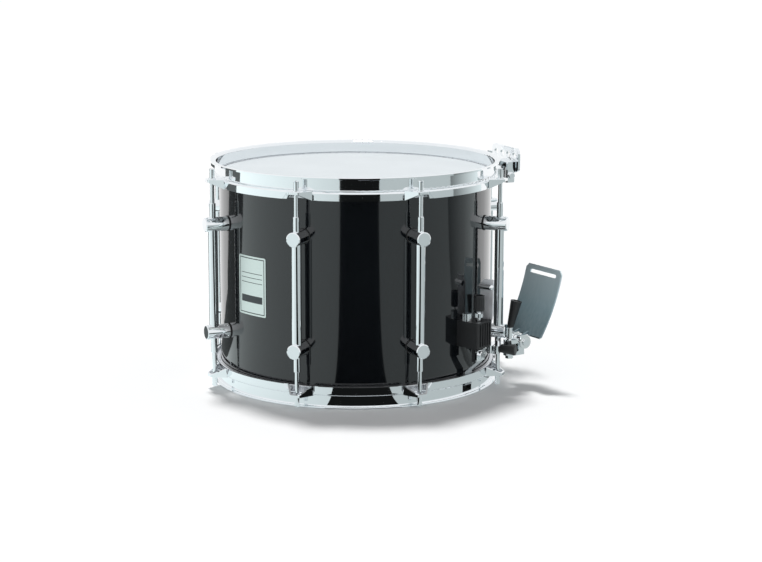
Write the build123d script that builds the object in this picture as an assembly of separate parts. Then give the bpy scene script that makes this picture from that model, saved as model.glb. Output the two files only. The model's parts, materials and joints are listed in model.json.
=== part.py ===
"""Parade snare drum with tube lugs, throw-off strainer, leg rest and sling bracket.

Millimetres, +Z up.  The origin is the centre of the ring that the drum stands on, at floor
level.  Azimuths are in degrees about +Z, from 0 at the front (-Y) through 90 at +X.
"""
from build123d import *
from math import cos, sin, sqrt, radians, atan2
import os

os.makedirs("parts", exist_ok=True)

# ---------------------------------------------------------------- driving dimensions
shell_diameter = 355.6          # nominal 14 inch
shell_depth = 254.0             # nominal 10 inch
shell_wall = 6.0
edge_chamfer = 4.4              # inner 45 degree cut of each bearing edge
edge_round = 1.2                # outer relief of each bearing edge

head_film = 0.5
film_gap = 0.4                  # film collar to shell
flesh_wall = 4.7                # radial width of a flesh hoop
flesh_height = 8.0

hoop_sheet = 2.0
hoop_bend = 2.0                 # centre-line radius of the hoop's bends
lip_height = 17.5               # a lip's outer face past the shell's end
lip_reach = 11.2                # edge of the lip past the shell
collar_gap = 1.5                # flesh hoop to the skirt's or wall's near side
skirt_height = 10.5             # skirt's free edge past the shell's end

lug_count = 8
lug_turn = 22.5                 # azimuth of the first lug
rod_offset = 20.2               # rods, sleeves and tubes stand this far off the shell
post_inset = 57.0               # post centre from the shell's end
post_diameter = 18.5
post_reach = 31.2               # post end face past the shell
gasket_thickness = 1.0
tube_diameter = 12.3
tube_wall = 1.0
sleeve_diameter = 8.2
sleeve_reach = 27.25            # sleeve's free end past the post centre
rod_diameter = 5.5
rod_length = 74.0               # under the head
rod_head_diameter = 6.6
rod_head_height = 12.0
washer_diameter = 10.0
washer_thickness = 1.2
ear_root = 17.0                 # half width of an ear at the skirt
ear_tip = 6.5                   # half width of an ear at its outer end
ear_reach = 8.0                 # ear past the rod's centre
ear_slot = 7.0                  # slit between an ear's wing and the skirt

running = 0.05                  # radial clearance of a turning shaft
free = 0.65                     # radial clearance of a shaft that only passes through

badge_azimuth = -48.2
badge_width = 51.0
badge_height = 75.5
badge_thickness = 0.8
badge_drop = 1.3                # badge's centre below the shell's middle
vent_azimuth = 180.0
vent_radius = 5.0

strainer_azimuth = 50.0
butt_azimuth = strainer_azimuth + 180
strap_width = 14.0
strap_thickness = 0.6
wire_count = 20
wire_pitch = 2.6
wire_radius = 1.1
wire_span = 314.0
snare_drop = 4.5                # how far the strainer end of the wires falls when thrown off

leg_azimuth = 67.5              # the lug that carries the leg rest
leg_turn = 53.9                 # arm direction past the lug's own azimuth
leg_tilt = 21.7                 # plate's lean from upright
leg_width = 73.0
leg_length = 92.0
leg_sheet = 2.0

sling_azimuth = 112.5           # the lug that carries the sling bracket
sling_length = 75.0
sling_height = 32.0
sling_hole_radius = 4.8
sling_hole_pitch = 17.0
sling_sheet = 3.0

# ---------------------------------------------------------------- derived sizes
shell_radius = shell_diameter / 2
rod_radius = shell_radius + rod_offset
lip_radius = shell_radius + lip_reach
bottom_edge = lip_height
top_edge = lip_height + shell_depth
total_height = shell_depth + 2 * lip_height
mid_height = total_height / 2

film_radius = shell_radius + film_gap                   # inner face of the film's collar
flesh_inner = film_radius + head_film
flesh_outer = flesh_inner + flesh_wall
shoulder_low = bottom_edge - 1.0                        # outer face of the lower shoulder
shoulder_high = shoulder_low + hoop_sheet
wall_middle = flesh_inner + 3.3
skirt_middle = flesh_outer + collar_gap + hoop_sheet + 0.2
skirt_inner = skirt_middle - hoop_sheet / 2
skirt_outer = skirt_middle + hoop_sheet / 2
skirt_edge = bottom_edge + skirt_height

lug_azimuths = [lug_turn + 360 / lug_count * k for k in range(lug_count)]
post_low = bottom_edge + post_inset
post_high = top_edge - post_inset
post_end = shell_radius + post_reach
post_start = shell_radius + gasket_thickness
ear_end = rod_radius + ear_reach
ear_face = total_height - shoulder_low                  # top of a batter-side ear

lug_hole = 2.75
lug_screw_diameter = 5.0
lug_screw_grip = 9.0
lug_washer_radius = 6.0
lug_washer_thickness = 1.0
inner_seat = sqrt((shell_radius - shell_wall) ** 2 - lug_washer_radius ** 2)
screw_head_radius = 4.6
mount_screw_radius = 2.0
mount_hole = mount_screw_radius + 0.3
grommet_wall = 1.0

end_plate_thickness = 1.0
wire_level = bottom_edge - head_film - 0.1 - wire_radius
strap_level = wire_level - wire_radius - end_plate_thickness - strap_thickness / 2
gate_low = strap_level - snare_drop - 3.9               # room under the strap when it has fallen

housing_low = bottom_edge + 48.5
housing_height = 33.0
housing_top = housing_low + housing_height
housing_width = 31.0
housing_face = shell_radius + 32.2
cavity_x = (shell_radius + 10.2, shell_radius + 28.7)
cavity_half = 11.0
carriage_low = housing_low - 2.5
carriage_high = housing_low + 22.0
knob_x = shell_radius + 22.2
knob_low = housing_top + 13.0
knob_height = 20.0
knob_radius = 6.9
stem_radius = 2.5
lever_x = shell_radius + 16.2
lever_z = housing_low + 14.0
lever_top = lever_z + 70.0
lever_sheet = 2.5
lever_gap = 0.7                 # lever to the casing's side
lever_pin_radius = 3.0
lock_nut_place = (lever_x - 5.0, -10.0)
tongue_face = shell_radius + 23.2
clamp_z = skirt_edge + 27.0
clamp_bar_thickness = 2.4
clamp_screw_radius = 2.0
clamp_head_radius = 6.0
mount_spots = {
    strainer_azimuth: (housing_low + 5, housing_low + 27),
    butt_azimuth: (clamp_z + 19, clamp_z + 39),
}

leg_bar_height = 10.0
knuckle_gap = 0.3
knuckle_height = 5.0
fork_clearance = 0.95           # fork's upper knuckle to the post above it
fork_high = post_low - post_diameter / 2 - fork_clearance
leg_bar_high = fork_high - knuckle_height - knuckle_gap
leg_bar_low = leg_bar_high - leg_bar_height
fork_low = leg_bar_low - knuckle_gap - knuckle_height
leg_bar_half = 8.5
jaw_gap = 0.6                   # each jaw to the sleeve's middle
swivel_x = rod_radius + 15.5
swivel_radius = 3.0
pinch_y = -18.0
pinch_z = leg_bar_low + 6.0
pinch_radius = 2.5
grip_length = 21.0
fork_half = 8.0
pin_x = 18.0
pin_z = leg_bar_low + 11.0
hinge_pin_radius = 3.0
ear_round = 8.5
ear_gap = 0.4                   # plate's ears to the fork
tall_collar = 13.4              # bare collar between the fork and the tall grip
tall_grip_length = 38.0
tall_grip_radius = 7.4
tall_grip_lean = 12.6
tall_grip_turn = 30.0
leg_slot_length = 54.0
leg_slot_height = 4.6

sling_block_x = (rod_radius + 10, rod_radius + 23)
sling_screw_places = (-21.0, 1.0)
sling_screw_z = ear_face - 6.0
sling_bolt_z = ear_face - 15.0


# ---------------------------------------------------------------- helpers
def around(azimuth, radius=0.0, height=0.0):
    """A place on the drum: x outwards, y towards rising azimuth, z up."""
    return Rot(0, 0, azimuth - 90) * Pos(radius, 0, height)


def cylinder_z(radius, low, high, x=0.0, y=0.0):
    """An upright cylinder between two heights."""
    return Pos(x, y, (low + high) / 2) * Cylinder(radius, high - low)


def cylinder_x(radius, start, end, y=0.0, z=0.0):
    """A cylinder that lies along x."""
    return Pos((start + end) / 2, y, z) * Rot(0, 90, 0) * Cylinder(radius, end - start)


def cylinder_y(radius, start, end, x=0.0, z=0.0):
    """A cylinder that lies along y."""
    return Pos(x, (start + end) / 2, z) * Rot(90, 0, 0) * Cylinder(radius, end - start)


def cone_x(radius_start, radius_end, start, end, y=0.0, z=0.0):
    """A cone that lies along x, its first radius at the start."""
    return Pos((start + end) / 2, y, z) * Rot(0, 90, 0) * Cone(radius_start, radius_end, end - start)


def block(x, y, z):
    """A box between (low, high) pairs."""
    size = (x[1] - x[0], y[1] - y[0], z[1] - z[0])
    middle = ((x[0] + x[1]) / 2, (y[0] + y[1]) / 2, (z[0] + z[1]) / 2)
    return Pos(*middle) * Box(*size)


def tube(outer, inner, low, high):
    """An upright tube on the z axis."""
    return cylinder_z(outer, low, high) - cylinder_z(inner, low - 1, high + 1)


def turned(points):
    """A solid turned about z from a closed (radius, height) outline."""
    return revolve(Plane.XZ * make_face(Polyline(*points, close=True)), axis=Axis.Z)


def side_plate(points, start, end):
    """A plate from a closed (x, z) outline, between two y places."""
    face = Plane.XZ * make_face(Polyline(*points, close=True))
    return Pos(0, end, 0) * extrude(face, end - start)


def flat_plate(points, low, high):
    """A plate from a closed (x, y) outline, between two heights."""
    return Pos(0, 0, low) * extrude(make_face(Polyline(*points, close=True)), high - low)


def bent_sheet(points, thickness, bend):
    """The (x, z) section of bent sheet: straight runs about a centre line, with round bends."""
    left, right, inner, outer = [], [], [], []
    for k, (x, z) in enumerate(points):
        runs = []
        if k > 0:
            runs.append((x - points[k - 1][0], z - points[k - 1][1]))
        if k < len(points) - 1:
            runs.append((points[k + 1][0] - x, points[k + 1][1] - z))
        units = [(a / sqrt(a * a + b * b), b / sqrt(a * a + b * b)) for a, b in runs]
        normal = (-sum(u[1] for u in units), sum(u[0] for u in units))
        scale = thickness / 2 / (normal[0] * -units[0][1] + normal[1] * units[0][0])
        left.append((x + normal[0] * scale, z + normal[1] * scale))
        right.append((x - normal[0] * scale, z - normal[1] * scale))
        if len(units) == 2:
            turn = units[0][0] * units[1][1] - units[0][1] * units[1][0]
            outer.append(bend - thickness / 2 if turn > 0 else bend + thickness / 2)
            inner.append(bend + thickness / 2 if turn > 0 else bend - thickness / 2)
    corners = [0.0] + outer + [0.0, 0.0] + inner[::-1] + [0.0]
    outline = left + right[::-1]
    return Plane.XZ * make_face(FilletPolyline(*outline, radius=corners, close=True))


def strap(points, width):
    """A flat strap of the strap's own thickness, centred on y = 0."""
    section = bent_sheet(points, strap_thickness, 2.0)
    return Pos(0, width / 2, 0) * extrude(section, width)


def flutes(radius, low, high, count, cut):
    """Upright cutters in a ring, for a knurl."""
    angles = [360 / count * k for k in range(count)]
    return [Rot(0, 0, a) * cylinder_z(cut, low, high, x=radius) for a in angles]


def everywhere(shape, heights):
    """One copy at each lug, the upper ones as modelled and the lower ones upside down."""
    copies = []
    for azimuth in lug_azimuths:
        if "high" in heights:
            copies.append(around(azimuth) * shape)
        if "low" in heights:
            copies.append(around(azimuth) * Pos(0, 0, total_height) * Rot(180, 0, 0) * shape)
    return copies


def save(name, shape):
    """Write one node, as one solid or as a group of separate solids."""
    solids = shape if isinstance(shape, list) else [shape]
    solids = [solid for item in solids for solid in item.solids()]
    result = solids[0] if len(solids) == 1 else Compound(children=solids)
    result.label = name
    export_step(result, f"parts/{name}.step")
    print(name, len(solids), round(sum(solid.volume for solid in solids), 1))


# ---------------------------------------------------------------- shell, heads and hoops
def make_shell():
    """Cylinder with bearing edges, lug screw holes and a vent."""
    inner = shell_radius - shell_wall
    outline = [
        (inner, bottom_edge + edge_chamfer),
        (inner + edge_chamfer, bottom_edge),
        (shell_radius - edge_round, bottom_edge),
        (shell_radius, bottom_edge + edge_round),
        (shell_radius, top_edge - edge_round),
        (shell_radius - edge_round, top_edge),
        (inner + edge_chamfer, top_edge),
        (inner, top_edge - edge_chamfer),
    ]
    shell = turned(outline)
    across = (inner - 5, shell_radius + 5)
    cutters = []
    for height in (post_low, post_high):
        cutters += [around(a) * cylinder_x(lug_hole, *across, z=height) for a in lug_azimuths]
    for azimuth, spots in mount_spots.items():
        cutters += [around(azimuth) * cylinder_x(mount_hole, *across, z=z) for z in spots]
    cutters.append(around(vent_azimuth) * cylinder_x(vent_radius + grommet_wall, *across, z=mid_height))
    return shell - cutters


def make_snare_head():
    """Film disc with its collar turned up over the shell's lower edge."""
    edge = bottom_edge
    collar_top = edge + flesh_height
    outer = film_radius + head_film
    outline = [
        (0, edge - head_film),
        (outer - 1.0, edge - head_film),
        (outer, edge - head_film + 1.0),
        (outer, collar_top),
        (film_radius, collar_top),
        (film_radius, edge + 0.6),
        (film_radius - 0.6, edge),
        (0, edge),
    ]
    return turned(outline)


def make_snare_flesh_hoop():
    """The ring that holds the film and seats on the counter hoop's shoulder."""
    low = shoulder_high
    high = low + flesh_height
    ease = 0.6
    outline = [
        (flesh_inner, low),
        (flesh_outer - ease, low),
        (flesh_outer, low + ease),
        (flesh_outer, high - ease),
        (flesh_outer - ease, high),
        (flesh_inner, high),
    ]
    return turned(outline)


def make_ear():
    """A stamped ear: a flat tab with two wings that rise to the skirt's free edge."""
    root, shelf = skirt_inner + 0.2, shoulder_low
    plan = [(flesh_outer + 0.6, -ear_root), (skirt_outer, -ear_root), (ear_end, -ear_tip),
            (ear_end, ear_tip), (skirt_outer, ear_root), (flesh_outer + 0.6, ear_root)]
    slant = atan2(ear_root - ear_tip, ear_end - skirt_outer)
    inset = hoop_sheet / cos(slant)
    tip = ear_end - hoop_sheet
    hollow = [(skirt_inner - 9, -ear_root + inset), (skirt_outer, -ear_root + inset),
              (tip, -ear_tip + inset / 2), (tip, ear_tip - inset / 2),
              (skirt_outer, ear_root - inset), (skirt_inner - 9, ear_root - inset)]
    cup = flat_plate(plan, shelf, skirt_edge) - flat_plate(hollow, shelf + hoop_sheet, skirt_edge + 1)
    wedge = side_plate([(root, shelf - 1), (ear_end + 1, shelf - 1), (ear_end + 1, shelf + 1.2 * hoop_sheet),
                        (skirt_outer, skirt_edge), (root, skirt_edge)], -ear_root - 1, ear_root + 1)
    cup = cup & wedge
    cup = fillet(cup.edges().filter_by(Axis.Z).sort_by(Axis.X)[-2:], 3.0)
    return cup - cylinder_z(rod_diameter / 2 + free, shelf - 1, shelf + 2 * hoop_sheet, x=rod_radius)


def make_hoop(gates):
    """The snare-side counter hoop: lip on the floor, wall, shoulder, skirt, ears and snare gates."""
    half = hoop_sheet / 2
    path = [(lip_radius, half), (wall_middle, half), (wall_middle, shoulder_low + half),
            (skirt_middle, shoulder_low + half), (skirt_middle, skirt_edge)]
    hoop = revolve(bent_sheet(path, hoop_sheet, hoop_bend), axis=Axis.Z)
    ear = make_ear()
    foot, top = shoulder_high + 1.0, skirt_edge + 1
    narrow, wide = ear_root, ear_root + ear_slot
    corners = [(-narrow, foot), (narrow, foot), (wide, top), (-wide, top)]
    window = Plane.YZ * make_face(Polyline(*corners, close=True))
    notch = Pos(skirt_inner - 0.8, 0, 0) * extrude(window, 6.0)
    hoop = hoop - [around(a) * notch for a in lug_azimuths]
    hoop = hoop + [around(a) * ear for a in lug_azimuths]
    bore = cylinder_z(rod_diameter / 2 + free, shoulder_low - 1, shoulder_high + 1, x=rod_radius)
    hoop = hoop - [around(a) * bore for a in lug_azimuths]
    if gates:
        half_gate = strap_width / 2 + 2.5
        gate = block((wall_middle - 4, skirt_inner - 0.2), (-half_gate, half_gate),
                     (gate_low, shoulder_high + 0.5))
        hoop = hoop - [around(a) * gate for a in (strainer_azimuth, butt_azimuth)]
    return hoop


def batter_side(shape):
    """Turn a snare-side piece over onto the batter side."""
    return Pos(0, 0, total_height) * Rot(180, 0, 0) * shape


# ---------------------------------------------------------------- lugs and rods
def make_post():
    """A round post on the shell, bored for the tube below it and the sleeve above it."""
    post = cylinder_x(post_diameter / 2, post_start, post_end, z=post_high)
    post = chamfer(post.faces().sort_by(Axis.X)[-1].edges(), 1.0)
    post = post - cylinder_z(tube_diameter / 2, post_high - post_diameter, post_high, x=rod_radius)
    post = post - cylinder_z(sleeve_diameter / 2, post_high - 1, post_high + post_diameter, x=rod_radius)
    bore = cylinder_x(lug_screw_diameter / 2, post_start - 1, post_start + lug_screw_grip, z=post_high)
    return post - bore


def make_gasket():
    """A thin washer between post and shell, curved to the shell."""
    ring = cylinder_x(post_diameter / 2 + 0.6, shell_radius - 3, post_start, z=post_high)
    ring = ring - cylinder_z(shell_radius, post_high - 20, post_high + 20)
    return ring - cylinder_x(lug_hole, shell_radius - 5, post_start + 1, z=post_high)


def make_lug_screw():
    """Round-head screw from inside the shell into the post."""
    seat = inner_seat - lug_washer_thickness
    shank = cylinder_x(lug_screw_diameter / 2, seat, post_start + lug_screw_grip - 1, z=post_high)
    head = cylinder_x(screw_head_radius, seat - 3.0, seat, z=post_high)
    head = fillet(head.faces().sort_by(Axis.X)[0].edges(), 1.6)
    slot = block((seat - 4, seat - 1.7), (-5, 5), (post_high - 0.6, post_high + 0.6))
    return shank + head - slot


def make_lug_washer():
    """Flat washer under a lug screw's head."""
    washer = cylinder_x(lug_washer_radius, inner_seat - lug_washer_thickness, inner_seat, z=post_high)
    return washer - cylinder_x(lug_hole, inner_seat - 5, inner_seat + 5, z=post_high)


def make_sleeve():
    """Threaded sleeve that a tension rod screws into."""
    sleeve = cylinder_z(sleeve_diameter / 2, post_high, post_high + sleeve_reach, x=rod_radius)
    sleeve = chamfer(sleeve.faces().sort_by(Axis.Z)[-1].edges(), 0.6)
    bore = rod_diameter / 2 + running
    return sleeve - cylinder_z(bore, post_high - 1, post_high + sleeve_reach + 1, x=rod_radius)


def make_rod(lift=0.0):
    """Tension rod with a round slotted head, seated on the washer of a batter-side ear."""
    seat = ear_face + washer_thickness + lift
    rod = cylinder_z(rod_diameter / 2, seat - rod_length, seat + 1, x=rod_radius)
    head = cylinder_z(rod_head_diameter / 2, seat, seat + rod_head_height, x=rod_radius)
    head = chamfer(head.faces().sort_by(Axis.Z)[-1].edges(), 0.6)
    slot = block((rod_radius - 5, rod_radius + 5), (-0.7, 0.7),
                 (seat + rod_head_height - 2.2, seat + rod_head_height + 1))
    return rod + head - slot


def make_rod_washer(lift=0.0):
    """Washer between an ear and a rod's head."""
    seat = ear_face + lift
    washer = cylinder_z(washer_diameter / 2, seat, seat + washer_thickness, x=rod_radius)
    return washer - cylinder_z(rod_diameter / 2 + free, seat - 1, seat + 5, x=rod_radius)


# ---------------------------------------------------------------- snares, strainer and butt
def make_wires():
    """The wires, side by side under the snare head."""
    level = wire_level
    offsets = [(k - (wire_count - 1) / 2) * wire_pitch for k in range(wire_count)]
    lines = [cylinder_x(wire_radius, -wire_span / 2, wire_span / 2, y=y, z=level) for y in offsets]
    return [around(strainer_azimuth) * line for line in lines]


def make_end_plates():
    """The two flat plates that the wires are soldered to, one set with them."""
    half = wire_count * wire_pitch / 2 + 1
    top = wire_level - wire_radius
    plate = block((wire_span / 2 - 13, wire_span / 2 - 1), (-half, half),
                  (top - end_plate_thickness, top))
    plate = fillet(plate.edges().filter_by(Axis.Z), 2.0)
    return [around(a) * plate for a in (strainer_azimuth, butt_azimuth)]


def make_housing():
    """The strainer's casing, open underneath, ribbed on its outer face."""
    low, high = housing_low, housing_top
    half = housing_width / 2
    case = block((shell_radius - 3, housing_face), (-half, half), (low, high))
    case = fillet(case.edges().filter_by(Axis.Z).sort_by(Axis.X)[-2:], 3.0)
    case = case - cylinder_z(shell_radius, low - 1, high + 1)
    cavity = block(cavity_x, (-cavity_half, cavity_half), (low - 1, high - 5.0))
    case = case - cavity - cylinder_z(stem_radius + 2.3, high - 6, high + 1, x=knob_x)
    ribs = [block((housing_face - 1, housing_face + 1.4), (y - 0.9, y + 0.9), (low + 2, high - 2))
            for y in (-9.6, -4.8, 0.0, 4.8, 9.6)]
    case = case + ribs
    pin = cylinder_y(lever_pin_radius, half - 4.0, half + 1, x=lever_x, z=lever_z)
    nut_bore = cylinder_z(2.5, high - 5, high + 1, x=lock_nut_place[0], y=lock_nut_place[1])
    bolts = [cylinder_x(mount_screw_radius, shell_radius - 3, shell_radius + 6.5, z=z)
             for z in mount_spots[strainer_azimuth]]
    return around(strainer_azimuth) * (case - pin - nut_bore - bolts)


def make_lever():
    """Throw-off lever: a flat side plate that turns outwards on its pin."""
    near = housing_width / 2 + lever_gap
    inner, outer = lever_x - 4, lever_x + 15.5
    outline = [(lever_x - 9, lever_z), (inner, lever_z + 24), (inner, lever_top - 7),
               (inner + 5.5, lever_top), (outer, lever_top), (outer, lever_z + 24), (lever_x + 9, lever_z)]
    plate = side_plate(outline, near, near + lever_sheet)
    plate = plate + cylinder_y(9.0, near, near + lever_sheet, x=lever_x, z=lever_z)
    plate = plate - cylinder_y(lever_pin_radius + running, near - 1, near + 9, x=lever_x, z=lever_z)
    return around(strainer_azimuth) * plate


def make_lever_pin():
    """The pin that the lever turns on, pressed into the casing."""
    near = housing_width / 2
    seat = near + lever_gap + lever_sheet + 0.4
    pin = cylinder_y(lever_pin_radius, near - 4.0, seat, x=lever_x, z=lever_z)
    head = cylinder_y(5.0, seat, seat + 2.0, x=lever_x, z=lever_z)
    return around(strainer_azimuth) * (pin + head)


def make_lever_grip():
    """Round stud across the lever's upper end, with a domed outer end."""
    radius = 3.6
    end = lever_x + 15
    y, z = housing_width / 2 + lever_gap - radius, lever_top - 9.0
    stud = cylinder_x(radius, lever_x - 2, end, y=y, z=z)
    dome = Pos(end, y, z) * Sphere(radius)
    return around(strainer_azimuth) * (stud + dome)


def make_carriage():
    """Sliding block inside the casing, with the tongue that the strap is clamped to."""
    body = block((cavity_x[0] + 0.8, cavity_x[1] - 1.3), (-cavity_half + 0.8, cavity_half - 0.8),
                 (carriage_low, carriage_high))
    tongue = block((tongue_face - 5.0, tongue_face), (-strap_width / 2 - 2, strap_width / 2 + 2),
                   (clamp_z - 8, carriage_low + 1))
    bore = cylinder_z(stem_radius + running, carriage_high - 10, carriage_high + 1, x=knob_x)
    screw = cylinder_x(clamp_screw_radius, tongue_face - 6, tongue_face + 1, z=clamp_z)
    return around(strainer_azimuth) * (body + tongue - bore - screw)


def make_clamp_bar():
    """Plate that presses the strap against the carriage's tongue."""
    start = tongue_face + strap_thickness
    half = strap_width / 2 + 2
    bar = block((start, start + clamp_bar_thickness), (-half, half), (clamp_z - 7, clamp_z + 7))
    bar = fillet(bar.edges().filter_by(Axis.X), 2.0)
    return bar - cylinder_x(clamp_screw_radius, start - 1, start + 4, z=clamp_z)


def make_clamp_screw():
    """Large slotted screw through clamp bar, strap and tongue."""
    start = tongue_face + strap_thickness + clamp_bar_thickness
    head = cylinder_x(clamp_head_radius, start, start + 3.0, z=clamp_z)
    head = chamfer(head.faces().sort_by(Axis.X)[-1].edges(), 0.7)
    slot = Pos(0, 0, clamp_z) * Rot(35, 0, 0) * block((start + 1.6, start + 4), (-8, 8), (-0.8, 0.8))
    shank = cylinder_x(clamp_screw_radius, tongue_face - 4.5, start + 1, z=clamp_z)
    return head + shank - slot


def make_strap(reach, drop):
    """Strap from a clamp, down inside the skirt and in under the head to the wires."""
    fall = (flesh_outer + skirt_inner) / 2
    centre = tongue_face + strap_thickness / 2
    level = strap_level - drop
    path = [(centre, clamp_z + 7), (centre, clamp_z - 9), (fall, skirt_edge + 4), (fall, level),
            (reach, level)]
    ribbon = strap(path, strap_width)
    return ribbon - cylinder_x(clamp_screw_radius, centre - 1, centre + 1, z=clamp_z)


def make_knob():
    """Tension knob: a black barrel with a dished top, fluted for the fingers."""
    low, high = knob_low, knob_low + knob_height
    knob = cylinder_z(knob_radius, low, high)
    knob = fillet(knob.faces().sort_by(Axis.Z)[-1].edges(), 0.8)
    knob = fillet(knob.faces().sort_by(Axis.Z)[0].edges(), 1.5)
    knob = knob - cylinder_z(knob_radius - 1.8, high - 4, high + 1)
    knob = knob - cylinder_z(stem_radius, low - 1, low + 10)
    knob = knob - flutes(knob_radius + 0.6, low + 3, high - 3, 12, 1.1)
    return around(strainer_azimuth, knob_x) * knob


def make_stem():
    """The knob's threaded stem, with a notched collar."""
    stem = cylinder_z(stem_radius, carriage_high - 9, knob_low + 10)
    collar = cylinder_z(5.6, knob_low - 8.0, knob_low - 3.0)
    collar = collar - flutes(5.8, knob_low - 9, knob_low - 2, 10, 0.9)
    return around(strainer_azimuth, knob_x) * (stem + collar)


def make_lock_nut():
    """Knurled nut on a short stud in the casing's top."""
    low = housing_top
    nut = cylinder_z(5.5, low + 0.3, low + 10) - flutes(5.8, low - 1, low + 11, 14, 0.8)
    nut = nut + cylinder_z(2.5 - running, low - 4.5, low + 1)
    return around(strainer_azimuth) * Pos(lock_nut_place[0], lock_nut_place[1], 0) * nut


def make_mount_screws():
    """Screws from inside the shell that hold the strainer and the butt."""
    seat = sqrt((shell_radius - shell_wall) ** 2 - screw_head_radius ** 2)
    screws = []
    for azimuth, spots in mount_spots.items():
        for z in spots:
            shank = cylinder_x(mount_screw_radius, seat - 1, shell_radius + 6, z=z)
            head = cylinder_x(screw_head_radius, seat - 3, seat, z=z)
            head = fillet(head.faces().sort_by(Axis.X)[0].edges(), 1.5)
            screws.append(around(azimuth) * (shank + head))
    return screws


def make_butt():
    """Fixed end of the snares: a plain block with the same strap clamp."""
    low, high = mount_spots[butt_azimuth][0] - 9, mount_spots[butt_azimuth][1] + 9
    body = block((shell_radius - 3, tongue_face), (-13, 13), (low, high))
    body = fillet(body.edges().filter_by(Axis.Z).sort_by(Axis.X)[-2:], 3.0)
    body = body - block((shell_radius - 4, tongue_face - 6), (-20, 20), (low - 1, low + 9))
    body = body - cylinder_z(shell_radius, low - 1, high + 1)
    bolts = [cylinder_x(mount_screw_radius, shell_radius - 3, shell_radius + 6.5, z=z)
             for z in mount_spots[butt_azimuth]]
    screw = cylinder_x(clamp_screw_radius, tongue_face - 5, tongue_face + 1, z=clamp_z)
    return around(butt_azimuth) * (body - bolts - screw)


# ---------------------------------------------------------------- leg rest
def make_leg_clamp():
    """Arm that grips a lug sleeve and carries the swivel bolt at its round outer end."""
    low, high = leg_bar_low, leg_bar_high
    bar = block((rod_radius + jaw_gap, swivel_x), (-leg_bar_half, leg_bar_half), (low, high))
    bar = bar + cylinder_z(leg_bar_half, low, high, x=swivel_x)
    wing = block((rod_radius + jaw_gap, rod_radius + 8), (pinch_y - 6.5, 0), (low, high))
    body = bar + fillet(wing.edges().filter_by(Axis.Z).sort_by(Axis.Y)[:2], 3.0)
    body = body - cylinder_z(sleeve_diameter / 2, low - 1, high + 1, x=rod_radius)
    body = body - cylinder_z(swivel_radius + running, low - 1, high + 1, x=swivel_x)
    body = body - cylinder_x(pinch_radius + running, rod_radius, rod_radius + 9, y=pinch_y, z=pinch_z)
    return around(leg_azimuth) * body


def make_leg_jaw():
    """The clamp's inner jaw."""
    low, high = leg_bar_low, leg_bar_high
    jaw = block((rod_radius - 8, rod_radius - jaw_gap), (pinch_y - 6.5, leg_bar_half), (low, high))
    jaw = fillet(jaw.edges().filter_by(Axis.Z), 3.0)
    jaw = jaw - cylinder_z(sleeve_diameter / 2, low - 1, high + 1, x=rod_radius)
    jaw = jaw - cylinder_x(pinch_radius + running, rod_radius - 9, rod_radius, y=pinch_y, z=pinch_z)
    return around(leg_azimuth) * jaw


def make_pinch_nut():
    """Round slotted nut on the clamp bolt's inner end."""
    start, end = rod_radius - 13.5, rod_radius - 8
    nut = cylinder_x(5.8, start, end, y=pinch_y, z=pinch_z)
    nut = chamfer(nut.faces().sort_by(Axis.X)[0].edges(), 0.8)
    nut = nut - block((start - 1, start + 1.2), (pinch_y - 7, pinch_y + 7), (pinch_z - 0.8, pinch_z + 0.8))
    nut = nut - cylinder_x(pinch_radius + running, start - 1, end + 1, y=pinch_y, z=pinch_z)
    return around(leg_azimuth) * nut


def make_pinch_handle():
    """Clamp bolt with a ribbed tapered grip."""
    start, end = rod_radius + 8.4, rod_radius + 8.4 + grip_length
    grip = cone_x(4.6, 7.4, start, end)
    grip = fillet(grip.faces().sort_by(Axis.X)[-1].edges(), 1.5)
    ribs = [Rot(36 * k, 0, 0) * cylinder_x(0.9, start + 3, end + 1, z=7.6) for k in range(10)]
    grip = grip - ribs
    bolt = cylinder_x(pinch_radius, rod_radius - 12.5, start + 2)
    return around(leg_azimuth) * Pos(0, pinch_y, pinch_z) * (grip + bolt)


def fork_frame():
    """The swivel's own frame: x along the arm, y along the hinge pin, z up."""
    return around(leg_azimuth, swivel_x) * Rot(0, 0, leg_turn)


def make_leg_fork():
    """Swivelling fork: two knuckles round the bolt and a nose for the hinge pin."""
    low, high, half = fork_low, fork_high, fork_half
    knuckles = [cylinder_z(half, low, low + knuckle_height), cylinder_z(half, high - knuckle_height, high),
                block((0, pin_x), (-half, half), (low, low + knuckle_height)),
                block((0, pin_x), (-half, half), (high - knuckle_height, high))]
    back = block((leg_bar_half + 0.9, pin_x), (-half, half), (low, high))
    nose = cylinder_y(7.0, -half, half, x=pin_x, z=pin_z)
    fork = back + knuckles + nose
    fork = fork - cylinder_z(swivel_radius + running, low - 1, high + 1)
    fork = fork - cylinder_y(hinge_pin_radius, -half - 1, half + 1, x=pin_x, z=pin_z)
    return fork_frame() * fork


def make_swivel_handle():
    """Swivel bolt with a nut below and a tall tapered grip, leaning outwards, on top."""
    low, high = fork_low, fork_high
    grip_low = high + tall_collar
    bolt = cylinder_z(swivel_radius, low - 4.0, grip_low + 3)
    nut = Pos(0, 0, low - 4.3) * extrude(RegularPolygon(5.2, 6), 4.0)
    collar = cylinder_z(4.2, high + knuckle_gap, grip_low + 0.8)
    length = tall_grip_length
    grip = Pos(0, 0, length / 2) * Cone(3.9, tall_grip_radius, length)
    grip = fillet(grip.faces().sort_by(Axis.Z)[-1].edges(), 0.8)
    grip = grip - cylinder_z(tall_grip_radius - 1.9, length - 5, length + 1)
    leaning = Pos(0, 0, grip_low) * Rot(0, tall_grip_lean, 0) * grip
    cut = block((-20, 20), (-20, 20), (high - 10, grip_low))
    handle = bolt + nut + collar + (leaning - cut)
    return around(leg_azimuth, swivel_x) * Rot(0, 0, tall_grip_turn) * handle


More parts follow.
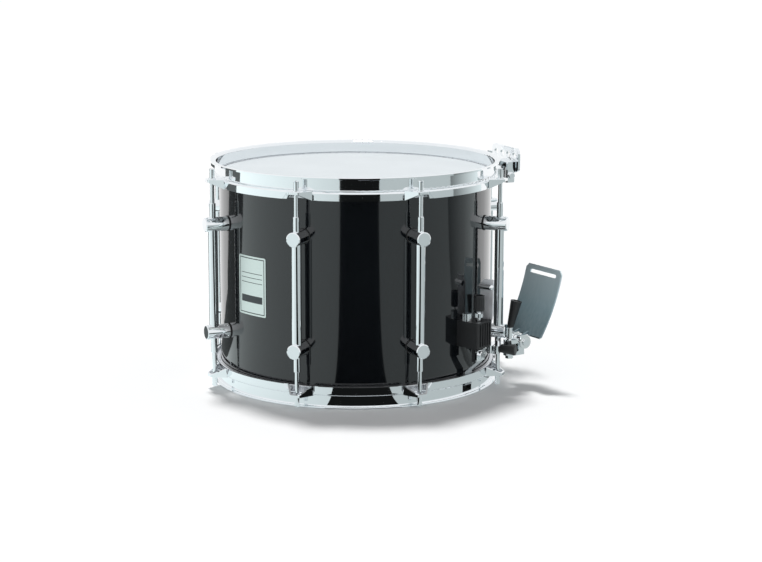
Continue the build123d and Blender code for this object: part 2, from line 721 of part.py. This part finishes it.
def make_hinge_pin():
    """Pin through the fork's nose and both ears of the leg plate."""
    end = fork_half + ear_gap + leg_sheet + ear_gap
    pin = cylinder_y(hinge_pin_radius, -end, end, x=pin_x, z=pin_z)
    for side in (-1, 1):
        ends = sorted((side * end, side * (end + 1.8)))
        pin = pin + cylinder_y(4.6, ends[0], ends[1], x=pin_x, z=pin_z)
    return fork_frame() * pin


def make_leg_plate():
    """Curved knee plate with a strap slot and two ears on the hinge pin."""
    run, rise = sin(radians(leg_tilt)), cos(radians(leg_tilt))
    start = (pin_x + 3.6, pin_z + 8.2)
    bow = leg_length * 0.045
    middle = (start[0] + run * leg_length / 2 + rise * bow,
              start[1] + rise * leg_length / 2 - run * bow)
    end = (start[0] + run * leg_length, start[1] + rise * leg_length)
    arc = ThreePointArc(start, middle, end)
    centre = Vector(arc.arc_center)
    radius = arc.radius
    outer = make_face(Wire([Edge.make_circle(radius + leg_sheet / 2)]))
    inner = make_face(Wire([Edge.make_circle(radius - leg_sheet / 2)]))
    ring = Pos(centre.X, centre.Y) * (outer - inner)
    spread = [(point[0] * 9 - centre.X * 8, point[1] * 9 - centre.Y * 8) for point in (start, end)]
    span = make_face(Polyline((centre.X, centre.Y), *spread, close=True))
    profile = ring & span
    half = leg_width / 2
    plate = Pos(0, half, 0) * extrude(Plane.XZ * profile, leg_width)
    upright = Pos(start[0], 0, start[1]) * Rot(0, leg_tilt, 0)
    outline = [(-half, leg_length - 5), (-half + 5, leg_length), (half - 5, leg_length),
               (half, leg_length - 5), (half, 2.5), (half - 2.5, 0), (-half + 2.5, 0), (-half, 2.5)]
    trim = extrude(Plane.YZ * make_face(Polyline(*outline, close=True)), 40, both=True)
    slot_z = leg_length - 9.0
    slot = Plane.YZ * (Pos(0, slot_z) * SlotOverall(leg_slot_length, leg_slot_height))
    slot = extrude(slot, 20, both=True)
    plate = (plate & (upright * Pos(0, 0, -0.2) * trim)) - upright * slot
    near = fork_half + ear_gap
    far = near + leg_sheet
    reach = (start[0] + run * 6, start[1] + rise * 6)
    ear = [(pin_x - ear_round, pin_z), (pin_x - ear_round + 1.5, pin_z + 10.0), (reach[0] - 2.0, reach[1]),
           (reach[0], reach[1]), (start[0] + 0.6, start[1] - 1.0), (pin_x + ear_round, pin_z)]
    for y in (near, -far):
        cheek = side_plate(ear, y, y + leg_sheet) + cylinder_y(ear_round, y, y + leg_sheet, x=pin_x, z=pin_z)
        plate = plate + cheek
    plate = plate - cylinder_y(hinge_pin_radius + running, -far - 1, far + 1, x=pin_x, z=pin_z)
    return fork_frame() * plate


# ---------------------------------------------------------------- sling bracket
def make_sling_bracket():
    """Foot under a tension rod's head, with a block outside the hoop for the sling plate."""
    foot = block((lip_radius + 1.5, sling_block_x[1]), (-9, 9), (ear_face, ear_face + sling_sheet))
    body = block(sling_block_x, (-30, 9), (ear_face - 24.5, ear_face + sling_sheet))
    body = chamfer(body.edges().filter_by(Axis.Z).sort_by(Axis.Y)[:2], 1.5)
    bracket = foot + body - cylinder_z(rod_diameter / 2 + free, ear_face - 1, ear_face + 9, x=rod_radius)
    for y in sling_screw_places:
        bracket = bracket - cylinder_x(2.5, sling_block_x[1] - 9, sling_block_x[1] + 1, y=y, z=sling_screw_z)
    bracket = bracket - cylinder_y(3.0, -31, -22, x=sum(sling_block_x) / 2, z=sling_bolt_z)
    return around(sling_azimuth) * bracket


def make_sling_plate():
    """Plate with a row of holes for the sling's hook."""
    start, end = sling_block_x[1], sling_block_x[1] + sling_sheet
    low = sling_screw_z - 5
    plate = block((start, end), (-sling_length / 2, sling_length / 2), (low, low + sling_height))
    plate = fillet(plate.edges().filter_by(Axis.X), 7.0)
    for k in range(4):
        y = (k - 1.5) * sling_hole_pitch
        plate = plate - cylinder_x(sling_hole_radius, start - 1, end + 1, y=y, z=low + sling_height - 10)
    for y in sling_screw_places:
        plate = plate - cylinder_x(2.5, start - 1, end + 1, y=y, z=sling_screw_z)
    return around(sling_azimuth) * plate


def make_sling_screws():
    """Two screws that hold the plate, and the clamp screw in the block's end."""
    screws = []
    face = sling_block_x[1] + sling_sheet
    for y in sling_screw_places:
        head = cylinder_x(4.4, face, face + 2.6, y=y, z=sling_screw_z)
        head = fillet(head.faces().sort_by(Axis.X)[-1].edges(), 1.2)
        screws.append(head + cylinder_x(2.5, face - 11, face + 1, y=y, z=sling_screw_z))
    x, z = sum(sling_block_x) / 2, sling_bolt_z
    head = cylinder_y(screw_head_radius, -33.5, -30, x=x, z=z)
    head = fillet(head.faces().sort_by(Axis.Y)[0].edges(), 1.2)
    screws.append(head + cylinder_y(3.0, -31, -22.5, x=x, z=z))
    return [around(sling_azimuth) * screw for screw in screws]


# ---------------------------------------------------------------- the parts
save("shell", make_shell())
save("snare_head", make_snare_head())
save("batter_head", batter_side(make_snare_head()))
save("snare_flesh_hoop", make_snare_flesh_hoop())
save("batter_flesh_hoop", batter_side(make_snare_flesh_hoop()))
save("snare_hoop", make_hoop(gates=True))
save("batter_hoop", batter_side(make_hoop(gates=False)))

grommet_bore = cylinder_x(vent_radius, shell_radius - 20, shell_radius + 20, z=mid_height)
grommet_tube = vent_radius + grommet_wall
grommet = cylinder_x(grommet_tube, shell_radius - shell_wall - 0.5, shell_radius + 0.8, z=mid_height)
grommet = grommet + cylinder_x(9.0, shell_radius - 1, shell_radius + 1.2, z=mid_height)
grommet_core = cylinder_z(shell_radius, 0, total_height)
grommet_core = grommet_core - cylinder_x(grommet_tube, 0, 2 * shell_radius, z=mid_height)
save("vent_grommet", around(vent_azimuth) * (grommet - grommet_core - grommet_bore))

badge_half = badge_width / 2
badge_low = mid_height - badge_drop - badge_height / 2
badge_high = badge_low + badge_height
badge = tube(shell_radius + badge_thickness, shell_radius, badge_low, badge_high)
badge_window = block((shell_radius - 15, shell_radius + 9), (-badge_half, badge_half),
                     (badge_low, badge_high))
badge_window = fillet(badge_window.edges().filter_by(Axis.X), 2.5)
save("badge", around(badge_azimuth) * (badge & badge_window))

lug_tube = Pos(rod_radius, 0, 0) * tube(tube_diameter / 2, tube_diameter / 2 - tube_wall, post_low, post_high)
save("lug_tubes", [around(a) * lug_tube for a in lug_azimuths])
save("lug_posts", everywhere(make_post(), ("high", "low")))
save("lug_gaskets", everywhere(make_gasket(), ("high", "low")))
save("lug_sleeves", everywhere(make_sleeve(), ("high", "low")))
save("lug_screws", everywhere(make_lug_screw(), ("high", "low")))
save("lug_washers", everywhere(make_lug_washer(), ("high", "low")))

washers = everywhere(make_rod_washer(), ("low",))
for number, azimuth in enumerate(lug_azimuths, start=1):
    raised = sling_sheet if azimuth == sling_azimuth else 0.0
    washers.append(around(azimuth) * make_rod_washer(raised))
    save(f"batter_rod_{number}", around(azimuth) * make_rod(raised))
    save(f"snare_rod_{number}", around(azimuth) * batter_side(make_rod()))
save("rod_washers", washers)

save("snare_wires", make_wires() + make_end_plates())
save("snare_strap", around(strainer_azimuth) * make_strap(wire_span / 2 - 12, 0.0))
save("butt_strap", around(butt_azimuth) * make_strap(wire_span / 2 - 12, 0.3))
save("strainer_housing", make_housing())
save("strainer_carriage", make_carriage())
save("strainer_lever", make_lever())
save("strainer_lever_pin", make_lever_pin())
save("strainer_lever_grip", make_lever_grip())
save("strainer_knob", make_knob())
save("strainer_knob_stem", make_stem())
save("strainer_lock_nut", make_lock_nut())
save("strap_clamp_bar", around(strainer_azimuth) * make_clamp_bar())
save("strap_clamp_screw", around(strainer_azimuth) * make_clamp_screw())
save("mount_screws", make_mount_screws())
save("butt_block", make_butt())
save("butt_clamp_bar", around(butt_azimuth) * make_clamp_bar())
save("butt_clamp_screw", around(butt_azimuth) * make_clamp_screw())

save("leg_clamp_arm", make_leg_clamp())
save("leg_clamp_jaw", make_leg_jaw())
save("leg_clamp_nut", make_pinch_nut())
save("leg_clamp_handle", make_pinch_handle())
save("leg_fork", make_leg_fork())
save("leg_swivel_handle", make_swivel_handle())
save("leg_hinge_pin", make_hinge_pin())
save("leg_plate", make_leg_plate())

save("sling_bracket", make_sling_bracket())
save("sling_plate", make_sling_plate())
save("sling_screws", make_sling_screws())
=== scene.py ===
import bpy
import json
from math import sin, cos, radians, tan, pi
from mathutils import Vector, Matrix


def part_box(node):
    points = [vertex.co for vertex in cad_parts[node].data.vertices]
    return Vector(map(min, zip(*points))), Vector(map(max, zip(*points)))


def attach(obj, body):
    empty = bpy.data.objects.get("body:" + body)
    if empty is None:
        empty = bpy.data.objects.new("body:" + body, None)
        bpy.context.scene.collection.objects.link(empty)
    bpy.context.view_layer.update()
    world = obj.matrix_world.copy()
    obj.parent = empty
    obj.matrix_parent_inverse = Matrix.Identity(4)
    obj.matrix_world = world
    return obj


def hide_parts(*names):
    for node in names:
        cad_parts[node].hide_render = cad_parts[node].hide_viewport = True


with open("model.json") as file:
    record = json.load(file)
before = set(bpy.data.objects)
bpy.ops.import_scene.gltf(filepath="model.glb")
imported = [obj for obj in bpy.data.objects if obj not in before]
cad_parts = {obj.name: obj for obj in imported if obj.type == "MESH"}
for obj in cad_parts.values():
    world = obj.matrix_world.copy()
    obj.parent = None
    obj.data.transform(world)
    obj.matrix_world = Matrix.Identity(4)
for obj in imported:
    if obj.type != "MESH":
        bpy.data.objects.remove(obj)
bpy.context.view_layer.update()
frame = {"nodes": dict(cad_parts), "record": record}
print("frame loaded", len(frame["nodes"]), "nodes")


# a socket that can be used in sums: each operator adds a Math node
class Value:
    def __init__(self, graph, socket):
        self.graph = graph
        self.socket = socket

    def math(self, operation, other, swapped=False):
        pair = (other, self) if swapped else (self, other)
        return self.graph.node("ShaderNodeMath", {"operation": operation}, {0: pair[0], 1: pair[1]})

    def __add__(self, other):
        return self.math("ADD", other)

    def __radd__(self, other):
        return self.math("ADD", other, True)

    def __sub__(self, other):
        return self.math("SUBTRACT", other)

    def __rsub__(self, other):
        return self.math("SUBTRACT", other, True)

    def __mul__(self, other):
        return self.math("MULTIPLY", other)

    def __rmul__(self, other):
        return self.math("MULTIPLY", other, True)

    def __lt__(self, other):
        return self.math("LESS_THAN", other)

    def __abs__(self):
        return self.graph.node("ShaderNodeMath", {"operation": "ABSOLUTE"}, {0: self})


class Graph:
    def __init__(self, name, holder=None):
        self.holder = holder or bpy.data.materials.new(name)
        self.holder.use_nodes = True
        self.tree = self.holder.node_tree
        self.surface = self.tree.nodes.get("Principled BSDF")

    def put(self, socket, value):
        if isinstance(value, Value):
            self.tree.links.new(value.socket, socket)
        else:
            socket.default_value = value

    def node(self, kind, settings, inputs, output=0):
        made = self.tree.nodes.new(kind)
        stops = settings.get("stops")
        for key, setting in settings.items():
            if key != "stops":
                setattr(made, key, setting)
        if stops:
            ramp = made.color_ramp.elements
            ramp[0].position, ramp[0].color = stops[0][0], (*stops[0][1], 1)
            ramp[1].position, ramp[1].color = stops[-1][0], (*stops[-1][1], 1)
            for place, colour in stops[1:-1]:
                ramp.new(place).color = (*colour, 1)
        for key, value in inputs.items():
            self.put(made.inputs[key], value)
        return Value(self, made.outputs[output])

    def place(self):
        return self.node("ShaderNodeTexCoord", {}, {}, "Object")

    # one coordinate of the object's own space: 0, 1 or 2
    def along(self, axis):
        return self.node("ShaderNodeSeparateXYZ", {}, {0: self.place()}, axis)

    def noise(self, scale, detail=3.0, stretch=(1, 1, 1)):
        spot = self.node("ShaderNodeMapping", {}, {"Vector": self.place(), "Scale": stretch})
        return self.node("ShaderNodeTexNoise", {}, {"Vector": spot, "Scale": scale, "Detail": detail})

    # sockets 6 and 7 take the node's two colours, and output 2 gives the mixed one
    def mix(self, factor, first, second):
        colours = [(*each, 1) if isinstance(each, tuple) else each for each in (first, second)]
        return self.node("ShaderNodeMix", {"data_type": "RGBA"}, {0: factor, 6: colours[0], 7: colours[1]}, 2)

    def bump(self, height, depth, strength=1.0):
        normal = self.node("ShaderNodeBump", {}, {"Height": height, "Distance": depth, "Strength": strength})
        self.put(self.surface.inputs["Normal"], normal)

    def set(self, **values):
        for key, value in values.items():
            self.put(self.surface.inputs[key.replace("_", " ")], value)


# finishes, one for each material slot of the record
chromeLook = {"colour": (0.90, 0.92, 0.93), "haze": (0.80, 0.84, 0.87), "hazeShare": 0.5,
              "rough": 0.015, "smudge": 0.06, "filmScale": 38.0, "smudgeScale": 16.0, "pitScale": 420.0,
              "pits": 0.000004}


def chrome():
    look = chromeLook
    g = Graph("polishedChrome")
    film = g.noise(look["filmScale"], 4.0)
    g.set(Base_Color=g.mix(film * look["hazeShare"], look["colour"], look["haze"]), Metallic=1.0,
          Roughness=g.noise(look["smudgeScale"], 5.0) * look["smudge"] + look["rough"])
    g.bump(g.noise(look["pitScale"], 2.0), look["pits"])
    return g.holder


lacquerLook = {"colour": (0.0035, 0.0042, 0.0055), "worn": (0.006, 0.008, 0.010), "wornScale": 9.0,
               "rough": 0.06, "roughSpread": 0.05, "roughScale": 22.0, "peel": 0.00002, "peelScale": 190.0,
               "coat": 0.6, "coatRough": 0.015}


def lacquer():
    look = lacquerLook
    g = Graph("blackLacquer")
    g.set(Base_Color=g.mix(g.noise(look["wornScale"]), look["colour"], look["worn"]),
          Roughness=g.noise(look["roughScale"], 4.0) * look["roughSpread"] + look["rough"],
          Coat_Weight=look["coat"], Coat_Roughness=look["coatRough"])
    g.bump(g.noise(look["peelScale"], 1.0), look["peel"], 0.35)
    return g.holder


headLook = {"white": (0.70, 0.74, 0.76), "worn": (0.62, 0.66, 0.68), "wornScale": 14.0, "rough": 0.42,
            "roughSpread": 0.25, "grain": 0.00006, "grainScale": 900.0}


def coatedHead():
    look = headLook
    g = Graph("coatedFilm")
    specks = g.noise(look["grainScale"], 2.0)
    patches = g.noise(look["wornScale"], 4.0)
    g.set(Base_Color=g.mix(patches, look["white"], look["worn"]),
          Roughness=specks * look["roughSpread"] + look["rough"])
    g.bump(specks, look["grain"], 0.6)
    return g.holder


filmLook = {"dim": (0.72, 0.75, 0.75), "pale": (0.82, 0.84, 0.84), "streakScale": 26.0, "spread": 0.2,
            "rough": 0.18, "cover": 0.62}


def clearHead():
    look = filmLook
    g = Graph("hazyFilm")
    streaks = g.noise(look["streakScale"], 5.0)
    g.set(Base_Color=g.mix(streaks, look["dim"], look["pale"]),
          Roughness=streaks * look["spread"] + look["rough"],
          Alpha=streaks * look["spread"] + look["cover"])
    return g.holder


metalLooks = {
    "head_ring": {"name": "brightRing", "light": (0.80, 0.81, 0.83), "dark": (0.62, 0.64, 0.67),
                  "rough": 0.20, "stretch": (1, 1, 6), "scale": 160.0, "depth": 0.00001},
    "zinc_steel": {"name": "zincPlate", "light": (0.62, 0.62, 0.60), "dark": (0.42, 0.42, 0.42),
                   "rough": 0.30, "stretch": (1, 1, 1), "scale": 120.0, "depth": 0.00001},
    "wire_steel": {"name": "springWire", "light": (0.72, 0.72, 0.73), "dark": (0.52, 0.52, 0.54),
                   "rough": 0.22, "stretch": (1, 1, 1), "scale": 200.0, "depth": 0.000005},
}


def metal(look):
    g = Graph(look["name"])
    grain = g.noise(look["scale"], 5.0, look["stretch"])
    g.set(Base_Color=g.mix(grain, look["dark"], look["light"]), Metallic=1.0,
          Roughness=grain * 0.18 + look["rough"])
    g.bump(grain, look["depth"], 0.5)
    return g.holder


plasticLooks = {
    "gasket": {"name": "blackRubber", "colour": (0.012, 0.012, 0.013), "worn": (0.03, 0.03, 0.03),
               "rough": 0.62, "scale": 600.0, "depth": 0.00003},
    "strap_film": {"name": "greyStrap", "colour": (0.33, 0.38, 0.40), "worn": (0.48, 0.53, 0.55),
                   "rough": 0.30, "scale": 240.0, "depth": 0.00002},
    "black_moulding": {"name": "blackMoulding", "colour": (0.010, 0.011, 0.012),
                       "worn": (0.022, 0.023, 0.025), "rough": 0.34, "scale": 700.0, "depth": 0.00003},
}


def plastic(look):
    g = Graph(look["name"])
    grain = g.noise(look["scale"], 3.0)
    g.set(Base_Color=g.mix(g.noise(30.0, 4.0), look["colour"], look["worn"]),
          Roughness=grain * 0.2 + look["rough"])
    g.bump(grain, look["depth"], 0.7)
    return g.holder


# a plain printed pattern: a border line, a dark band low down and three thin rules above
badgeLook = {"azimuth": -48.2, "halfWide": 0.0255, "halfTall": 0.03775, "border": 0.0028, "line": 0.0006,
             "margin": 0.003, "bandAt": -0.017, "bandHalf": 0.0045, "rules": (0.016, 0.010, 0.004),
             "ruleHalf": 0.0004, "silver": (0.60, 0.67, 0.64), "pale": (0.74, 0.80, 0.77),
             "ink": (0.03, 0.04, 0.045)}


def badgePlate():
    look = badgeLook
    low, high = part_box("badge")
    turn = radians(look["azimuth"] - 90)
    g = Graph("printedPlate")
    across = g.along(0) * -sin(turn) + g.along(1) * cos(turn)
    up = g.along(2) - (low.z + high.z) / 2
    sideways = abs(across) - (look["halfWide"] - look["border"])
    upright = abs(up) - (look["halfTall"] - look["border"])
    outside = g.node("ShaderNodeMath", {"operation": "MAXIMUM"}, {0: sideways, 1: upright})
    edge = abs(outside) < look["line"]
    inside = outside < -look["margin"]
    band = (abs(up - look["bandAt"]) < look["bandHalf"]) * inside
    rules = sum(abs(up - at) < look["ruleHalf"] for at in look["rules"])
    framed = g.node("ShaderNodeMath", {"operation": "MAXIMUM"}, {0: edge, 1: band})
    inked = g.node("ShaderNodeMath", {"operation": "MAXIMUM"}, {0: framed, 1: rules * inside})
    grain = g.noise(220.0, 3.0, (1, 1, 8))
    brushed = g.mix(grain, look["silver"], look["pale"])
    g.set(Base_Color=g.mix(inked, brushed, look["ink"]), Metallic=1.0 - inked, Roughness=grain * 0.15 + 0.3)
    g.bump(grain, 0.00001, 0.4)
    return g.holder


# knee plate: the teal is the plate's own colour; dark, middle and light make a painted shade and painted
# reflection, darker at the bottom and lighter at the top
kneeLook = {"earAbovePin": 0.010, "metal": 0.35, "dark": (0.10, 0.16, 0.19), "middle": (0.27, 0.41, 0.46),
            "light": (0.66, 0.80, 0.84), "sheen": (0.75, 0.84, 0.87), "ear": (0.92, 0.93, 0.93)}


def kneeSteel():
    look = kneeLook
    low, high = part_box("leg_plate")
    pinLow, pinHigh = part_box("leg_hinge_pin")
    pivot = (pinLow + pinHigh) / 2
    g = Graph("satinPlate")
    height = g.along(2)
    share = (height - low.z) * (1.0 / (high.z - low.z))
    # painted shade and painted reflection: the base colour runs by height from dark at the bottom to light at
    # the top
    paintedShadeRamp = g.node("ShaderNodeValToRGB", {"stops": [(0.1, look["dark"]), (0.5, look["middle"]),
                                                   (1.0, look["light"])]}, {0: share})
    grain = g.noise(300.0, 4.0, (1, 1, 0.08))
    ear = height < pivot.z + look["earAbovePin"]
    satinAndPaintedShade = g.mix(grain * 0.3, paintedShadeRamp, look["sheen"])
    g.set(Base_Color=g.mix(ear, satinAndPaintedShade, look["ear"]), Metallic=look["metal"] + (1 - look["metal"]) * ear,
          Roughness=(grain * 0.12 + 0.30) * (1 - 0.7 * ear))
    g.bump(grain, 0.000012, 0.5)
    return g.holder


# the lever is chrome; its pale, mostly diffuse base colour is a painted reflection of the white surroundings,
# and the grain mix is the lever's own grain
leverLook = {"bright": (0.90, 0.91, 0.93), "worn": (0.80, 0.83, 0.87), "metal": 0.35, "rough": 0.28}


def leverPaintedReflection():
    look = leverLook
    g = Graph("leverPaintedReflection")
    grain = g.noise(300.0, 4.0, (1, 1, 6))
    g.set(Base_Color=g.mix(grain, look["bright"], look["worn"]), Metallic=look["metal"],
          Roughness=grain * 0.1 + look["rough"])
    g.bump(grain, 0.000008, 0.4)
    return g.holder


gripLook = {"black": (0.012, 0.013, 0.014), "bright": (0.90, 0.92, 0.93), "collar": 0.0130}


def boltAndGrip():
    look = gripLook
    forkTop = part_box("leg_fork")[1].z
    g = Graph("boltAndGrip")
    height = g.along(2)
    bare = height < forkTop + look["collar"]
    grain = g.noise(700.0)
    g.set(Base_Color=g.mix(bare, look["black"], look["bright"]), Metallic=bare,
          Roughness=(grain * 0.2 + 0.30) * (1 - 0.8 * bare))
    g.bump(grain, 0.00003, 0.4)
    return g.holder


finishes = {"shell_lacquer": lacquer(), "chrome": chrome(), "coated_head": coatedHead(),
            "clear_head": clearHead(), "badge_metal": badgePlate(), "knee_steel": kneeSteel()}
finishes.update({slot: metal(look) for slot, look in metalLooks.items()})
finishes.update({slot: plastic(look) for slot, look in plasticLooks.items()})
# two nodes that look unlike the rest of their slot
ownFinishes = {"leg_swivel_handle": boltAndGrip(), "strainer_lever": leverPaintedReflection()}
for part in frame["record"]["subparts"]:
    materials = frame["nodes"][part["node"]].data.materials
    materials.clear()
    materials.append(ownFinishes.get(part["node"], finishes[part["material_slot"]]))
print("finishes set", len(finishes) + len(ownFinishes))

# the snare wires: coils soldered between two end plates
coilLook = {"count": 20, "pitch": 0.0026, "span": 0.314, "endGap": 0.001, "wire": 0.00032, "coil": 0.00078,
            "turns": 142, "steps": 7, "weld": 0.00001, "azimuth": 50.0, "smooth": 40.0, "plateLong": 0.012,
            "plateThick": 0.001, "plateInset": 0.007, "plateMargin": 0.001, "plateEdge": 0.0004}


def clearSelection():
    for thing in bpy.context.selected_objects:
        thing.select_set(False)


def snareSet():
    look = coilLook
    coilReach = look["coil"] + look["wire"]
    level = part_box("snare_wires")[1].z - coilReach        # middle of the wires
    turned = Matrix.Rotation(radians(look["azimuth"] - 90), 4, "Z")
    clearSelection()
    bpy.ops.mesh.primitive_circle_add(vertices=4, radius=look["wire"], fill_type="NOTHING",
                                      location=(look["coil"], 0, 0), rotation=(pi / 2, 0, 0))
    coil = bpy.context.object
    bpy.ops.object.transform_apply(location=True, rotation=True, scale=True)
    screw = coil.modifiers.new("coil", "SCREW")
    screw.angle = 2 * pi
    screw.screw_offset = (look["span"] - 2 * look["endGap"]) / look["turns"]
    screw.iterations = look["turns"]
    screw.steps = screw.render_steps = look["steps"]
    screw.use_merge_vertices = True
    screw.merge_threshold = look["weld"]
    bpy.ops.object.modifier_apply(modifier="coil")
    bpy.ops.object.mode_set(mode="EDIT")
    bpy.ops.mesh.select_all(action="SELECT")
    bpy.ops.mesh.normals_make_consistent(inside=False)
    bpy.ops.object.mode_set(mode="OBJECT")
    first = Matrix.Translation((look["endGap"] - look["span"] / 2, 0, level))
    lay = turned @ first @ Matrix.Rotation(pi / 2, 4, "Y")
    coils = [coil]
    for k in range(1, look["count"]):
        twin = coil.copy()
        twin.data = coil.data.copy()
        bpy.context.scene.collection.objects.link(twin)
        coils.append(twin)
    for k, each in enumerate(coils):
        aside = Matrix.Translation((0, (k - (look["count"] - 1) / 2) * look["pitch"], 0))
        each.data.transform(lay @ aside)
    halfWide = look["count"] * look["pitch"] / 2 + look["plateMargin"]
    for side in (-1, 1):
        clearSelection()
        bpy.ops.mesh.primitive_cube_add(size=1)
        plate = bpy.context.object
        plate.data.transform(Matrix.Diagonal((look["plateLong"], 2 * halfWide, look["plateThick"], 1)))
        bevel = plate.modifiers.new("edge", "BEVEL")
        bevel.width, bevel.segments = look["plateEdge"], 2
        bpy.ops.object.modifier_apply(modifier="edge")
        spot = Matrix.Translation((side * (look["span"] / 2 - look["plateInset"]), 0,
                                   level - coilReach - look["plateThick"] / 2))
        plate.data.transform(turned @ spot)
        coils.append(plate)
    clearSelection()
    for each in coils:
        each.select_set(True)
    bpy.context.view_layer.objects.active = coil
    bpy.ops.object.join()
    coil.name = "snareCoils"
    clearSelection()
    coil.select_set(True)
    bpy.ops.object.shade_smooth_by_angle(angle=radians(look["smooth"]))
    coil.data.materials.clear()
    coil.data.materials.append(finishes["wire_steel"])
    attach(coil, "snares")
    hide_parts("snare_wires")
    return coil


print("snare coils", len(snareSet().data.polygons), "faces")

# floor, light and camera
studio = {"floor": 60.0, "floorWhite": 0.95, "sky": 0.42, "gloss": 0.98, "sunPower": 2.25, "sunSoft": 9.0,
          "sunFrom": (-0.08, 0.31, 1.0), "skyColour": (0.97, 0.985, 1.0, 1)}


def addFloor():
    clearSelection()
    bpy.ops.mesh.primitive_plane_add(size=2 * studio["floor"])
    floor = bpy.context.object
    floor.name = "studioFloor"
    g = Graph("palePaper")
    g.set(Base_Color=(studio["floorWhite"],) * 3 + (1,), Roughness=0.9, Specular_IOR_Level=0.0)
    floor.data.materials.append(g.holder)


# flat cards on the floor round the drum, seen only in the polished surfaces: each covers a span of bearings
# in degrees, 0 towards the viewer and growing to the right, and its shade runs from one end to the other
cards = {
    "frontCard": {"span": (-13.0, 17.0), "shades": (0.008, 0.008)},
    "rightCard": {"span": (17.0, 78.0), "shades": (0.55, 0.55)},
    "sideCard": {"span": (78.0, 112.0), "shades": (0.20, 0.9)},
    "leftCard": {"span": (-104.0, -13.0), "shades": (1.15, 0.72)},
    "blueCard": {"span": (-128.0, -104.0), "shades": (0.12, 0.12)},
}
cardShape = {"inner": 0.191, "outer": 9.0, "steps": 12, "lift": 0.0008, "tint": (0.90, 1.0, 1.01)}


def cardMesh(name, start, sweep):
    shape = cardShape
    points, faces = [], []
    for k in range(shape["steps"] + 1):
        bearing = start + sweep * k / shape["steps"]
        for reach in (shape["inner"], shape["outer"]):
            points.append((reach * sin(bearing), -reach * cos(bearing), shape["lift"]))
    for k in range(shape["steps"]):
        faces.append((2 * k, 2 * k + 1, 2 * k + 3, 2 * k + 2))
    mesh = bpy.data.meshes.new(name)
    mesh.from_pydata(points, [], faces)
    return mesh


def addCard(name, look):
    start, end = [radians(bearing) for bearing in look["span"]]
    card = bpy.data.objects.new(name, cardMesh(name, start, end - start))
    bpy.context.scene.collection.objects.link(card)
    g = Graph(name)
    bearing = g.node("ShaderNodeMath", {"operation": "ARCTAN2"}, {0: g.along(0), 1: 0.0 - g.along(1)})
    share = (bearing - start) * (1 / (end - start))
    ends = [tuple(shade * part for part in cardShape["tint"]) for shade in look["shades"]]
    glow = g.node("ShaderNodeValToRGB", {"stops": [(0.0, ends[0]), (1.0, ends[1])]}, {0: share})
    g.set(Base_Color=(0, 0, 0, 1), Roughness=1.0, Specular_IOR_Level=0.0, Emission_Color=glow,
          Emission_Strength=1.0)
    card.data.materials.append(g.holder)
    card.visible_camera = card.visible_diffuse = card.visible_shadow = False
    card.visible_transmission = False


def addSun():
    data = bpy.data.lights.new("softSun", "SUN")
    data.energy, data.angle = studio["sunPower"], radians(studio["sunSoft"])
    sun = bpy.data.objects.new("softSun", data)
    bpy.context.scene.collection.objects.link(sun)
    sun.rotation_euler = Vector(studio["sunFrom"]).to_track_quat("Z", "Y").to_euler()


# the sky is brighter in reflections than as light, so that polished metal stays pale
def addSky():
    world = bpy.data.worlds.new("studioSky")
    g = Graph("studioSky", world)
    shiny = g.node("ShaderNodeLightPath", {}, {}, "Is Glossy Ray")
    background = world.node_tree.nodes["Background"]
    background.inputs["Color"].default_value = studio["skyColour"]
    g.put(background.inputs["Strength"], shiny * (studio["gloss"] - studio["sky"]) + studio["sky"])
    bpy.context.scene.world = world


view = {"middle": (0, 0, 0.125), "away": 2.527, "azimuth": -1.2, "elevation": 11.4, "lens": 90.3,
        "sensor": 36.0, "aside": 0.77, "roll": 0.18}


def addCamera():
    a, e = radians(view["azimuth"]), radians(view["elevation"])
    middle = Vector(view["middle"])
    place = middle + view["away"] * Vector((sin(a) * cos(e), -cos(a) * cos(e), sin(e)))
    right = Vector((cos(a), sin(a), 0))
    aim = middle + right * view["away"] * tan(radians(view["aside"]))
    data = bpy.data.cameras.new("mainCamera")
    data.sensor_width, data.lens = view["sensor"], view["lens"]
    camera = bpy.data.objects.new("mainCamera", data)
    bpy.context.scene.collection.objects.link(camera)
    turned = (aim - place).to_track_quat("-Z", "Y").to_matrix().to_4x4()
    camera.matrix_world = Matrix.Translation(place) @ turned @ Matrix.Rotation(radians(view["roll"]), 4, "Z")
    bpy.context.scene.camera = camera


addFloor()
for cardName, cardLook in cards.items():
    addCard(cardName, cardLook)
addSky()
addSun()
addCamera()
bpy.context.scene.view_settings.view_transform = "Standard"
print("stage set")
